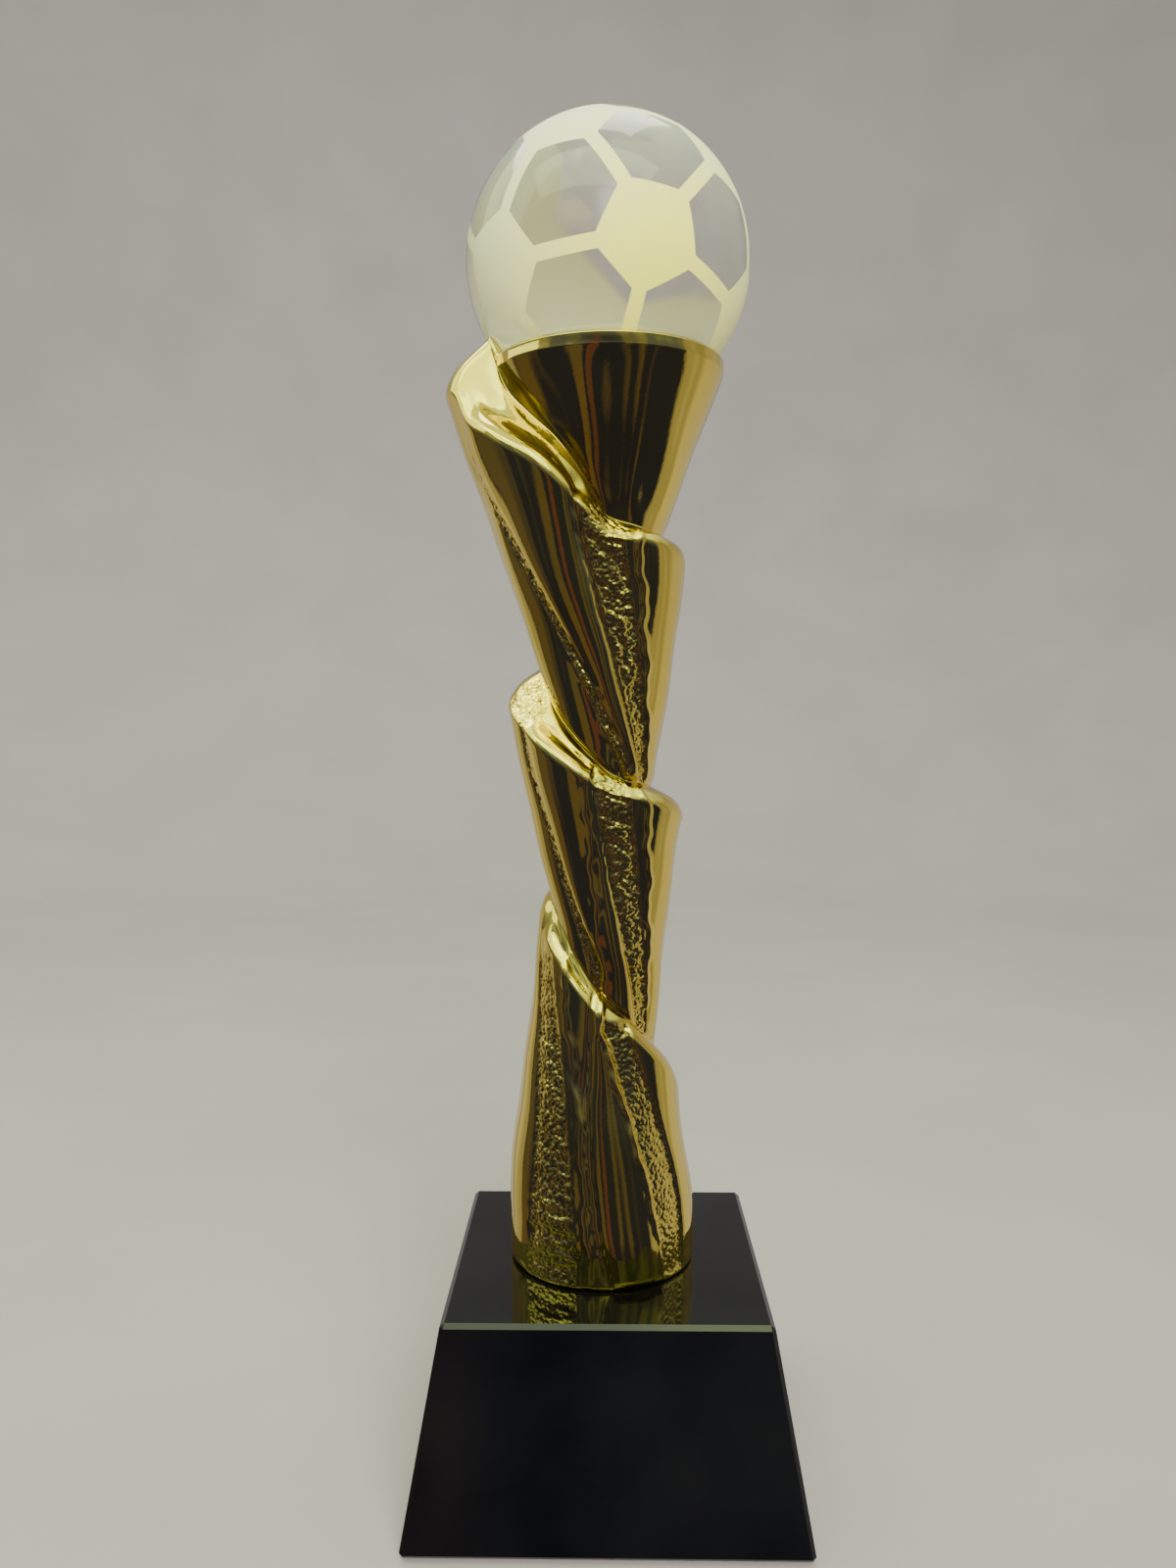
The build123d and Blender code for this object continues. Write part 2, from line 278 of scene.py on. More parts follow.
# ---------------------------------------------------------------- the column's skin
class Skin:
    """The strip as a grid of turn angle, height and radius, with the relief that is put on it."""

    def __init__(self):
        angle = FIRST_ANGLE + 360 * np.arange(COLUMNS) / TURN
        top, top_radius, lip, drop = (smooth_curve(angle, LEDGE, k) for k in (1, 2, 3, 4))
        next_angle = np.minimum(angle + 360, LAST_ANGLE)
        on_foot = angle >= LAST_ANGLE - 360
        end = np.where(on_foot, FOOT_Z, smooth_curve(next_angle, LEDGE, 1))
        end_radius = np.where(on_foot, smooth_curve(angle, FOOT), smooth_curve(next_angle, LEDGE, 2))
        drop = np.minimum(drop, LONGEST_DROP * np.maximum(top - end, 0))

        down_lip = (np.arange(LIP_ROWS + 1) / LIP_ROWS)[None, :] ** LIP_CROWDING
        down_taper = (np.arange(1, TAPER_ROWS + 1) / TAPER_ROWS)[None, :]
        lip_power = np.interp(angle, *LIP_POWER.T)[:, None]
        taper_power = np.interp(angle, *TAPER_POWER.T)[:, None]
        lip_z = top[:, None] - drop[:, None] * down_lip
        lip_radius = top_radius[:, None] + (lip - top_radius)[:, None] * (1 - (1 - down_lip) ** lip_power)
        knee = (top - drop)[:, None]
        taper_z = knee + (end[:, None] - knee) * down_taper
        eased, even = step(down_taper, 0, FLARE_END), np.clip(down_taper / FLARE_END, 0, 1)
        flare = FLARE_SOFTNESS * eased + (1 - FLARE_SOFTNESS) * even
        flared = np.clip((angle - FLARE_ANGLE) / FLARE_BLEND, 0, 1)[:, None]
        fall = (1 - flared) * down_taper ** taper_power + flared * flare
        taper_radius = lip[:, None] + (end_radius - lip)[:, None] * fall

        self.angle = angle
        self.turn = np.repeat(angle[:, None], ROWS + 1, 1)
        self.z = np.concatenate([lip_z, taper_z], 1)
        self.radius = np.concatenate([lip_radius, taper_radius], 1)
        self.lip = np.concatenate([np.repeat(down_lip, COLUMNS, 0), np.ones((COLUMNS, TAPER_ROWS))], 1)
        self.above_end = self.z - end[:, None]
        self.along = self.turn * np.pi / 180 * self.radius
        self.relief = np.zeros_like(self.z)
        self.hammered = np.zeros_like(self.z)

    def turn_at(self, line):
        """Turn angle of a line at every height of the grid."""
        top, top_turn, low, low_turn, bow = line
        share = np.clip((top - self.z) / (top - low), 0, 1)
        return top_turn + (low_turn - top_turn) * share + 4 * bow * share * (1 - share)

    def across(self, line):
        """Distance along the skin from a line."""
        return (self.turn - self.turn_at(line)) * np.pi / 180 * self.radius

    def between(self, left, right):
        """0 on the left line, 1 on the right one."""
        first, last = self.turn_at(left), self.turn_at(right)
        return (self.turn - first) / np.maximum(last - first, 1e-6)

    def waver(self, line):
        """Small side-to-side wander of a line. Its phase is the line's lower turn angle."""
        phase = line[3]
        return sum(size * np.sin(self.z * rate + times * phase) for size, rate, times in WAVER)

    def crease(self, line, depth, width):
        """A sharp groove along a line."""
        return -depth * np.exp(-np.abs(self.across(line) + CREASE_WAVER * self.waver(line)) / width)

    def ridge(self, line, height, width):
        """A round ridge along a line."""
        return height * np.exp(-((self.across(line) + self.waver(line)) / width) ** 2)

    def lobe(self, left, right, height, fullness=0.7):
        """A full cushion between two lines."""
        share = self.between(left, right)
        inside = (share > 0) & (share < 1)
        return np.where(inside, height * np.clip(4 * share * (1 - share), 0, 1) ** fullness, 0)

    def band(self, left, right, sunk, height, pitch, soft=0.12):
        """A strip of hammered texture between two lines, sunk a little below the skin."""
        share = self.between(left, right)
        top = left[0]
        below_top = 1 - step(self.z, top, top + BAND_FADE)
        mask = step(share, 0, soft) * (1 - step(share, 1 - soft, 1)) * below_top
        on = mask > 0
        x = np.where(on, self.along, self.along[on].mean())
        y = np.where(on, self.z, self.z[on].mean())
        self.relief += mask * (height * pebbles(x, y, pitch, BAND_SEED + abs(left[1])) - sunk)
        self.hammered = np.maximum(self.hammered, mask)

    def channel(self, first, last, depth):
        """A groove along the top of the rolled ledge."""
        across_lip = np.exp(-((self.lip - CHANNEL_CENTRE) / CHANNEL_WIDTH) ** 2)
        self.relief -= depth * plateau(self.turn, first, last, CHANNEL_FADE) * across_lip

    def ledge_patch(self, first, last):
        """Hammered texture where the roll of the ledge flattens out."""
        patch = plateau(self.turn, first, last, PATCH_FADE) * plateau(self.lip, *PATCH_SPAN, PATCH_SPAN_FADE)
        on = patch > 0
        x = np.where(on, self.along, 0)
        y = np.where(on, self.lip * PATCH_LIP, 0)
        bumps = PATCH_HEIGHT * pebbles(x, y, PATCH_PITCH, PATCH_SEED + first)
        self.relief += patch * (bumps - PATCH_SUNK)
        self.hammered = np.maximum(self.hammered, patch)

    def smooth_points(self):
        around = np.radians(self.turn)
        return np.stack([-self.radius * np.cos(around), -self.radius * np.sin(around), self.z], -1)

    def raised_points(self):
        """The grid's points moved along the skin's outward normals by the relief.

        Where the skin lies almost flat, as on a ledge, outward means upward.
        """
        points = self.smooth_points()
        normal = np.cross(np.gradient(points, axis=1), np.gradient(points, axis=0))
        length = np.linalg.norm(normal, axis=-1, keepdims=True)
        around = np.radians(self.turn)
        outward = np.stack([-np.cos(around), -np.sin(around), 0 * around], -1)
        normal = np.where(length > 1e-6, normal / np.maximum(length, 1e-6), outward)
        facing = (normal * outward).sum(-1, keepdims=True) + 0.35 * normal[..., 2:3]
        normal *= np.sign(facing + 1e-9)
        return points + normal * self.relief[..., None]


def pebbles(x, y, pitch, seed):
    """Height of a hammered surface, 0 to 1: round pebbles with narrow valleys between them."""
    random = np.random.default_rng(seed)
    nx = int((x.max() - x.min()) / pitch) + 3
    ny = int((y.max() - y.min()) / pitch) + 3
    gx, gy = np.meshgrid(np.arange(nx), np.arange(ny), indexing="ij")
    aside = random.uniform(-PEBBLE_SCATTER, PEBBLE_SCATTER, gx.shape)
    px = x.min() + (gx - 1 + aside + 0.5 * (gy % 2)) * pitch
    py = y.min() + (gy - 1 + random.uniform(-PEBBLE_SCATTER, PEBBLE_SCATTER, gy.shape)) * pitch
    height = random.uniform(LOWEST_PEBBLE, 1.0, gx.shape)
    best = np.full(x.shape, -1.0)
    cx = np.round((x - x.min()) / pitch + 1).astype(int)
    cy = np.round((y - y.min()) / pitch + 1).astype(int)
    for i in (-2, -1, 0, 1, 2):
        for j in (-1, 0, 1):
            kx, ky = np.clip(cx + i, 0, nx - 1), np.clip(cy + j, 0, ny - 1)
            away = np.hypot(x - px[kx, ky], y - py[kx, ky]) / (PEBBLE_REACH * pitch)
            best = np.maximum(best, height[kx, ky] * (1 - away * away))
    return np.clip(best, 0, 1)


def modelled_skin():
    """The skin with all its relief."""
    skin = Skin()
    for left, right, height in LOBES:
        skin.relief += skin.lobe(left, right, height)
    for line, depth, width in CREASES:
        skin.relief += skin.crease(line, depth, width)
    for line, height, width in RIDGES:
        skin.relief += skin.ridge(line, height, width)
    low_ridge = skin.ridge(L2_PIT_LOW, LOW_RIDGE_HEIGHT, LOW_RIDGE_WIDTH)
    skin.relief += low_ridge * (1 - step(skin.z, *LOW_RIDGE_FADE))
    for band in BANDS:
        skin.band(*band)
    cup = (skin.turn < FLUTE_LAST_ANGLE) * step(skin.above_end, 0, FLUTE_END_FADE)
    cup = cup * step(FLUTE_TOP - skin.z, *FLUTE_TOP_FADE)
    for turn, width, height in FLUTES:
        skin.relief += cup * height * np.exp(-((skin.turn - turn) / width) ** 2)
    skin.relief *= step(skin.above_end, 0, RELIEF_END_FADE) * step(skin.lip, *RELIEF_LIP_FADE)
    for channel in CHANNELS:
        skin.channel(*channel)
    for patch in LEDGE_PATCHES:
        skin.ledge_patch(*patch)
    away_from_ledges = step(skin.above_end, 0, UNEVENNESS_END_FADE) * step(skin.lip, *UNEVENNESS_LIP_FADE)
    for around, up, size, phase in UNEVENNESS:
        wave = np.sin(np.radians(skin.turn) * around + skin.z * up * 2 * np.pi + phase)
        skin.relief += size * wave * away_from_ledges
    return skin


# ---------------------------------------------------------------- meshes
class Shell:
    """Points and faces of a mesh while it is put together."""

    def __init__(self):
        self.points, self.marks, self.faces = [], [], []

    def put(self, point, mark=0.0):
        self.points.append(tuple(point))
        self.marks.append(mark)
        return len(self.points) - 1

    def face(self, *ids):
        """A face without the corners that are the same point."""
        kept = [v for k, v in enumerate(ids) if v != ids[k - 1]]
        if len(set(kept)) >= 3:
            self.faces.append(kept)

    def ring(self, angles, radius, height):
        radius = np.broadcast_to(radius, len(angles))
        height = np.broadcast_to(height, len(angles))
        return [self.put((-r * math.cos(a), -r * math.sin(a), h)) for r, a, h in zip(radius, angles, height)]

    def bridge(self, upper, lower):
        for k in range(len(upper)):
            n = (k + 1) % len(upper)
            self.face(upper[k], upper[n], lower[n], lower[k])

    def places(self, ids):
        return np.array([self.points[v] for v in ids])


def new_mesh(name, points, faces):
    """A smooth-shaded object from points in millimetres."""
    mesh = bpy.data.meshes.new(name)
    mesh.from_pydata([Vector(p) * MM for p in points], [], faces)
    mesh.validate()
    obj = bpy.data.objects.new(name, mesh)
    bpy.context.scene.collection.objects.link(obj)
    mesh.shade_smooth()
    return obj


def wind_strip(shell, skin):
    """Puts the strip's points and faces in the shell.

    Each column of points hangs from the end of the column that lies one turn above it.
    """
    smooth, raised = skin.smooth_points(), skin.raised_points()
    index = np.zeros((COLUMNS, ROWS + 1), int)
    index[0, :] = shell.put(smooth[0, 0])
    for i in range(1, COLUMNS - 1):
        index[i, 0] = index[i - TURN, ROWS] if i >= TURN else shell.put(smooth[i, 0])
        for j in range(1, ROWS + 1):
            index[i, j] = shell.put(raised[i, j] if j < ROWS else smooth[i, j], skin.hammered[i, j])
    index[COLUMNS - 1, :] = index[COLUMNS - 1 - TURN, ROWS]
    for i in range(COLUMNS - 1):
        for j in range(ROWS):
            shell.face(index[i, j], index[i, j + 1], index[i + 1, j + 1], index[i + 1, j])
    return index


def line_inside(shell, index, angles):
    """Closes the shell: rolled rim, ball seat, well, rod hole, hollow, foot bore and underside."""
    rim = [index[k, 0] for k in range(TURN)]
    first_foot = COLUMNS - 1 - TURN
    skew = (FIRST_ANGLE % 360) * TURN // 360
    foot = [index[first_foot + (k + skew) % TURN, ROWS] for k in range(TURN)]
    rim_places = shell.places(rim)
    rim_radius, rim_z = np.hypot(*rim_places[:, :2].T), rim_places[:, 2]
    seat_edge = np.sqrt(SEAT_RADIUS ** 2 - (BALL_Z - rim_z + SEAT_DROP) ** 2)
    middle, half = (rim_radius + seat_edge) / 2, (rim_radius - seat_edge) / 2
    chain = [rim]
    for share in (0.25, 0.5, 0.75, 1.0):
        roll = math.pi * RIM_ROLL_TURN * share
        chain.append(shell.ring(angles, middle + half * math.cos(roll), rim_z + RIM_ROLL * math.sin(roll)))
    for share in np.linspace(SEAT_START, 1, SEAT_RINGS):
        seat = seat_edge + (WELL_RADIUS - seat_edge) * share
        chain.append(shell.ring(angles, seat, BALL_Z - np.sqrt(SEAT_RADIUS ** 2 - seat ** 2)))
    ceiling = FLOOR_Z - FLOOR_THICKNESS
    for radius, height in ((WELL_RADIUS, FLOOR_Z), (HOLE_RADIUS, FLOOR_Z), (HOLE_RADIUS, ceiling),
                           (HOLLOW_RADIUS, ceiling), (HOLLOW_RADIUS, BORE_TOP),
                           (BORE_RADIUS, BORE_TOP), (BORE_RADIUS, FOOT_Z)):
        chain.append(shell.ring(angles, radius, height))
    foot_radius = np.hypot(*shell.places(foot)[:, :2].T)
    chain.append(shell.ring(angles, foot_radius - FOOT_EDGE, FOOT_Z))
    chain.append(foot)
    for upper, lower in zip(chain, chain[1:]):
        shell.bridge(upper, lower)


def gold_column():
    skin, shell = modelled_skin(), Shell()
    index = wind_strip(shell, skin)
    line_inside(shell, index, np.radians(skin.angle[:TURN]))
    column = new_mesh("gold_column", shell.points, shell.faces)
    marks = column.data.attributes.new("hammered", "FLOAT", "POINT")
    marks.data.foreach_set("value", np.array(shell.marks, np.float32))
    bm = bmesh.new()
    bm.from_mesh(column.data)
    bmesh.ops.recalc_face_normals(bm, faces=bm.faces[:])
    bm.to_mesh(column.data)
    bm.free()
    return column


def unit(vector):
    return vector / np.linalg.norm(vector)


def pentagon_centres():
    """Directions of a football's twelve pentagons, the corners of an icosahedron, turned to suit."""
    golden = (1 + 5 ** 0.5) / 2
    found = []
    for one in (1, -1):
        for long in (golden, -golden):
            found += [(0, one, long), (one, long, 0), (long, 0, one)]
    spin = [Matrix.Rotation(math.radians(a), 3, axis) for a, axis in zip(BALL_TURN, "XYZ")]
    turned = np.array(spin[2] @ spin[1] @ spin[0])
    return np.array(found) / math.hypot(1, golden) @ turned.T


def window_corner(centres, near, far, third, middle):
    """Where the seam between two pentagons meets the edge of the near one, as a direction.

    Third is the other pentagon of the window and middle is the direction of the window's middle.
    """
    seam_plane = unit(np.cross(centres[near], centres[far]))
    seam_plane *= np.sign(seam_plane @ middle)
    one = unit(2 * centres[near] + centres[far])
    two = unit(2 * centres[near] + centres[third])
    edge_plane = unit(np.cross(one, two))
    edge_plane *= np.sign(edge_plane @ middle)
    cross = np.cross(seam_plane, edge_plane)
    offsets = [SEAM / BALL_RADIUS, PENTAGON_REACH / BALL_RADIUS, 0]
    flat = np.linalg.solve(np.array([seam_plane, edge_plane, cross]), offsets)
    rise = math.sqrt(max(0, 1 - flat @ flat)) * unit(cross)
    return flat + rise if (flat + rise) @ middle > (flat - rise) @ middle else flat - rise


def football_panels():
    """Corners and faces of the pattern, and the material slot of each face.

    A window lies between every three neighbouring pentagons, and a frosted seam between every two.
    """
    centres = pentagon_centres()
    cosine = centres @ centres.T
    trios = [trio for trio in itertools.combinations(range(PENTAGONS), 3)
             if all(cosine[pair] > NEIGHBOUR_COSINE for pair in itertools.combinations(trio, 2))]
    points, faces, slots = [], [], []
    corner = {}                      # (window, near pentagon, far pentagon): number of the point
    beside = {}                      # (pentagon, its neighbour): the two windows along their seam
    for number, trio in enumerate(trios):
        middle = unit(sum(centres[i] for i in trio))
        turning = np.dot(np.cross(centres[trio[0]], centres[trio[1]]), centres[trio[2]])
        a, b, c = trio if turning > 0 else trio[::-1]
        outline = []
        for near, far in ((a, b), (b, a), (b, c), (c, b), (c, a), (a, c)):
            third = ({a, b, c} - {near, far}).pop()
            corner[number, near, far] = len(points)
            outline.append(len(points))
            direction = window_corner(centres, near, far, third, middle)
            points.append(direction * BALL_RADIUS + (0, 0, BALL_Z))
        faces.append(outline)
        slots.append(CLEAR)
        for pair in itertools.permutations(trio, 2):
            beside.setdefault(pair, []).append(number)
    for (one, other), (left, right) in beside.items():
        if one < other:
            faces.append([corner[left, one, other], corner[right, one, other],
                          corner[right, other, one], corner[left, other, one]])
            slots.append(FROSTED)
    for pentagon, centre in enumerate(centres):
        east = unit(np.cross(centre, [0.3, 0.5, 0.8]))
        north = np.cross(centre, east)
        bearing = {}
        for (_, near, _), number in corner.items():
            if near == pentagon:
                from_centre = points[number] - (0, 0, BALL_Z)
                bearing[number] = math.atan2(from_centre @ north, from_centre @ east)
        faces.append(sorted(bearing, key=bearing.get))
        slots.append(FROSTED)
    return points, faces, slots


def crystal_football():
    points, faces, slots = football_panels()
    ball = new_mesh("crystal_football", points, faces)
    bm = bmesh.new()
    bm.from_mesh(ball.data)
    bm.faces.ensure_lookup_table()
    for face, slot in zip(bm.faces, slots):
        face.material_index = slot
    bmesh.ops.poke(bm, faces=[face for face in bm.faces if len(face.verts) > 4])
    bmesh.ops.subdivide_edges(bm, edges=bm.edges[:], cuts=BALL_CUTS, use_grid_fill=True)
    centre = Vector((0, 0, BALL_Z * MM))
    for vert in bm.verts:
        vert.co = centre + (vert.co - centre).normalized() * BALL_RADIUS * MM
    bmesh.ops.recalc_face_normals(bm, faces=bm.faces[:])
    for face in bm.faces:
        face.smooth = True
    bm.to_mesh(ball.data)
    bm.free()
    return ball


# ---------------------------------------------------------------- materials
# shared by all finishes; scales are per metre
TONE_SPAN = (0.35, 0.65)             # the part of the noise that most of it falls in
ROUGH_SCALE = 2.7                    # roughness varies this much finer than the tone
BUMP_DISTANCE = 0.0005               # metres


def finish_mat(name, tones, rough, tone_scale, bump_scale, bump, **sockets):
    """Two tones in soft clouds, roughness that varies, and a fine bump, with other sockets by name."""
    mat = bpy.data.materials.new(name)
    mat.use_nodes = True
    nodes, links = mat.node_tree.nodes, mat.node_tree.links
    shader = nodes["Principled BSDF"]
    for key, value in sockets.items():
        shader.inputs[key.replace("_", " ")].default_value = value
    place = nodes.new("ShaderNodeTexCoord")

    def noise(scale, detail=4):
        texture = nodes.new("ShaderNodeTexNoise")
        texture.inputs["Scale"].default_value = scale
        texture.inputs["Detail"].default_value = detail
        links.new(place.outputs["Object"], texture.inputs["Vector"])
        return texture.outputs["Fac"]

    ramp = nodes.new("ShaderNodeValToRGB")
    for element, position, tone in zip(ramp.color_ramp.elements, TONE_SPAN, tones):
        element.position = position
        element.color = (*tone, 1)
    links.new(noise(tone_scale), ramp.inputs["Fac"])
    links.new(ramp.outputs["Color"], shader.inputs["Base Color"])
    spread = nodes.new("ShaderNodeMapRange")
    spread.inputs["From Min"].default_value = TONE_SPAN[0]
    spread.inputs["From Max"].default_value = TONE_SPAN[1]
    spread.inputs["To Min"].default_value = rough[0]
    spread.inputs["To Max"].default_value = rough[1]
    links.new(noise(tone_scale * ROUGH_SCALE), spread.inputs["Value"])
    links.new(spread.outputs["Result"], shader.inputs["Roughness"])
    grain = nodes.new("ShaderNodeBump")
    grain.inputs["Strength"].default_value = bump
    grain.inputs["Distance"].default_value = BUMP_DISTANCE
    links.new(noise(bump_scale, 2), grain.inputs["Height"])
    links.new(grain.outputs["Normal"], shader.inputs["Normal"])
    return mat


def gold_finish():
    """Mirror gold, with small round hammer marks wherever the mesh is marked as hammered."""
    mat = finish_mat("gold_mirror", ((0.96, 0.73, 0.12), (1.0, 0.79, 0.155)), rough=(0.03, 0.07),
                     tone_scale=30, bump_scale=900, bump=0.03, Metallic=1.0)
    nodes, links = mat.node_tree.nodes, mat.node_tree.links
    shader = nodes["Principled BSDF"]
    fine = shader.inputs["Normal"].links[0].from_node
    dimples = nodes.new("ShaderNodeTexVoronoi")
    dimples.feature = "SMOOTH_F1"
    dimples.inputs["Scale"].default_value = 750
    dimples.inputs["Smoothness"].default_value = 0.25
    links.new(nodes["Texture Coordinate"].outputs["Object"], dimples.inputs["Vector"])
    mask = nodes.new("ShaderNodeAttribute")
    mask.attribute_name = "hammered"
    height = nodes.new("ShaderNodeMath")
    height.operation = "MULTIPLY"
    links.new(dimples.outputs["Distance"], height.inputs[0])
    links.new(mask.outputs["Fac"], height.inputs[1])
    dents = nodes.new("ShaderNodeBump")
    dents.invert = True
    dents.inputs["Strength"].default_value = 0.8
    dents.inputs["Distance"].default_value = BUMP_DISTANCE
    links.new(height.outputs["Value"], dents.inputs["Height"])
    links.new(fine.outputs["Normal"], dents.inputs["Normal"])
    links.new(dents.outputs["Normal"], shader.inputs["Normal"])
    return mat


def clear_finish():
    """Polished glass, a little cloudy under its clear surface, as the far side's frosting makes it look."""
    return finish_mat("clear_crystal", ((0.985, 0.97, 0.92), (1.0, 0.99, 0.95)), rough=(0.11, 0.15),
                      tone_scale=25, bump_scale=400, bump=0.0, IOR=1.5, Transmission_Weight=1.0,
                      Coat_Weight=1.0, Coat_Roughness=0.01)


def frosted_finish():
    """Sandblasted glass with painted light: its tones are tinted yellow for the gold cup's light bounced
    onto the frosting, and a stronger painted yellow glow sits low on the front where that light gathers.
    """
    # centre of the painted yellow glow, standing for the gold cup's light on the frosting
    painted_glow_centre = Vector((12, -36, BALL_Z - 14)) * MM
    # the yellow in these tones is painted light bounced from the gold cup, not the glass's own colour
    mat = finish_mat("frosted_crystal_with_painted_glow", ((0.88, 0.89, 0.52), (0.93, 0.93, 0.58)), rough=(0.45, 0.6),
                     tone_scale=25, bump_scale=4000, bump=0.15, IOR=1.5, Transmission_Weight=0.28)
    nodes, links = mat.node_tree.nodes, mat.node_tree.links
    shader = nodes["Principled BSDF"]
    # painted glow: the base colour turns yellow near a point low on the front, standing for the gold cup's
    # light
    painted_glow_mix = nodes.new("ShaderNodeMix")
    painted_glow_mix.data_type = "RGBA"
    links.new(shader.inputs["Base Color"].links[0].from_socket, painted_glow_mix.inputs[6])
    painted_glow_mix.inputs[7].default_value = (1.0, 0.98, 0.12, 1)
    away = nodes.new("ShaderNodeVectorMath")
    away.operation = "DISTANCE"
    away.inputs[1].default_value = painted_glow_centre
    links.new(nodes["Texture Coordinate"].outputs["Object"], away.inputs[0])
    fade = nodes.new("ShaderNodeMapRange")
    fade.interpolation_type = "SMOOTHSTEP"
    fade.inputs["From Min"].default_value = 0.002
    fade.inputs["From Max"].default_value = 0.055
    fade.inputs["To Min"].default_value = 1.0
    fade.inputs["To Max"].default_value = 0.0
    links.new(away.outputs["Value"], fade.inputs["Value"])
    links.new(fade.outputs["Result"], painted_glow_mix.inputs["Factor"])
    links.new(painted_glow_mix.outputs[2], shader.inputs["Base Color"])
    return mat


def black_glass_finish():
    return finish_mat("black_crystal", ((0.002, 0.002, 0.002), (0.005, 0.005, 0.005)), rough=(0.02, 0.06),
                      tone_scale=20, bump_scale=300, bump=0.0, IOR=1.5)


def steel_finish():
    return finish_mat("zinc_steel", ((0.55, 0.55, 0.52), (0.68, 0.68, 0.66)), rough=(0.22, 0.38),
                      tone_scale=300, bump_scale=3000, bump=0.2, Metallic=1.0)


def felt_finish():
    return finish_mat("dark_felt", ((0.012, 0.012, 0.012), (0.03, 0.03, 0.032)), rough=(0.85, 1.0),
                      tone_scale=900, bump_scale=5000, bump=1.0, Sheen_Weight=0.4)


def rubber_finish():
    return finish_mat("rubber", ((0.015, 0.015, 0.015), (0.03, 0.03, 0.03)), rough=(0.6, 0.75),
                      tone_scale=200, bump_scale=2500, bump=0.3)


def plug_finish():
    return finish_mat("plug_plastic", ((0.10, 0.10, 0.10), (0.14, 0.14, 0.14)), rough=(0.4, 0.5),
                      tone_scale=150, bump_scale=1800, bump=0.2)


def foam_finish():
    return finish_mat("foam", ((0.03, 0.03, 0.03), (0.07, 0.07, 0.07)), rough=(0.85, 0.95),
                      tone_scale=700, bump_scale=3000, bump=0.8)


def glue_finish():
    return finish_mat("clear_glue", ((0.93, 0.92, 0.85), (0.97, 0.96, 0.9)), rough=(0.05, 0.15),
                      tone_scale=100, bump_scale=900, bump=0.1, IOR=1.48, Transmission_Weight=1.0)


def dress(nodes, mat):
    """Gives the CAD's own meshes a material."""
    for node in nodes:
        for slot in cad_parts[node].material_slots:
            slot.material = mat


column = gold_column()
ball = crystal_football()
column.data.materials.append(gold_finish())
ball.data.materials.append(clear_finish())
ball.data.materials.append(frosted_finish())
dress(["crystal_base"], black_glass_finish())
dress(["tie_rod", "hex_nuts", "flat_washers", "spring_washer"], steel_finish())
dress(["base_pad"], felt_finish())
dress(["rubber_washer"], rubber_finish())
dress(["foot_plug"], plug_finish())
dress(["foot_gasket"], foam_finish())
dress(["ball_adhesive"], glue_finish())
for obj, node, finish in ((column, "column", "gold_plating"), (ball, "crystal_ball", "clear_glass")):
    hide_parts(node)
    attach(obj, "root")


# ---------------------------------------------------------------- studio
def studio_bowl():
    """Pale floor that curves up into a backdrop all round, just below the trophy's underside."""
    centre_radius, floor_radius, wall_radius, wall_top, drop = 0.02, 1.0, 1.9, 2.2, 0.0002
    sides, floor_rings, curve_rings = 96, 9, 16
    curve = wall_radius - floor_radius
    profile = [(r, 0) for r in np.linspace(centre_radius, floor_radius, floor_rings)]
    profile += [(floor_radius + curve * math.sin(a), curve * (1 - math.cos(a)))
                for a in np.linspace(0.1, math.pi / 2, curve_rings)]
    profile += [(wall_radius, wall_top)]
    bm = bmesh.new()
    rings = []
    for r, z in profile:
        rings.append([bm.verts.new((r * math.cos(a), r * math.sin(a), z - drop))
                      for a in np.linspace(0, 2 * math.pi, sides + 1)[:-1]])
    for lower, upper in zip(rings, rings[1:]):
        for k in range(sides):
            n = (k + 1) % sides
            bm.faces.new((lower[k], lower[n], upper[n], upper[k]))
    bm.faces.new(rings[0][::-1])
    mesh = bpy.data.meshes.new("bowl")
    bm.to_mesh(mesh)
    bm.free()
    mesh.shade_smooth()
    bowl = bpy.data.objects.new("bowl", mesh)
    bpy.context.scene.collection.objects.link(bowl)
    mesh.materials.append(finish_mat("backdrop", ((0.355, 0.325, 0.325), (0.38, 0.35, 0.35)),
                                     rough=(0.8, 0.9), tone_scale=6, bump_scale=400, bump=0.0))
    bowl.visible_glossy = False


def area_light(name, place, aim, size, watts, tint):
    data = bpy.data.lights.new(name, "AREA")
    data.shape = "RECTANGLE"
    data.size, data.size_y = size
    data.energy = watts
    data.color = tint
    lamp = bpy.data.objects.new(name, data)
    lamp.location = place
    lamp.rotation_mode = "QUATERNION"
    lamp.rotation_quaternion = (Vector(aim) - Vector(place)).to_track_quat("-Z", "Y")
    bpy.context.scene.collection.objects.link(lamp)
    return lamp


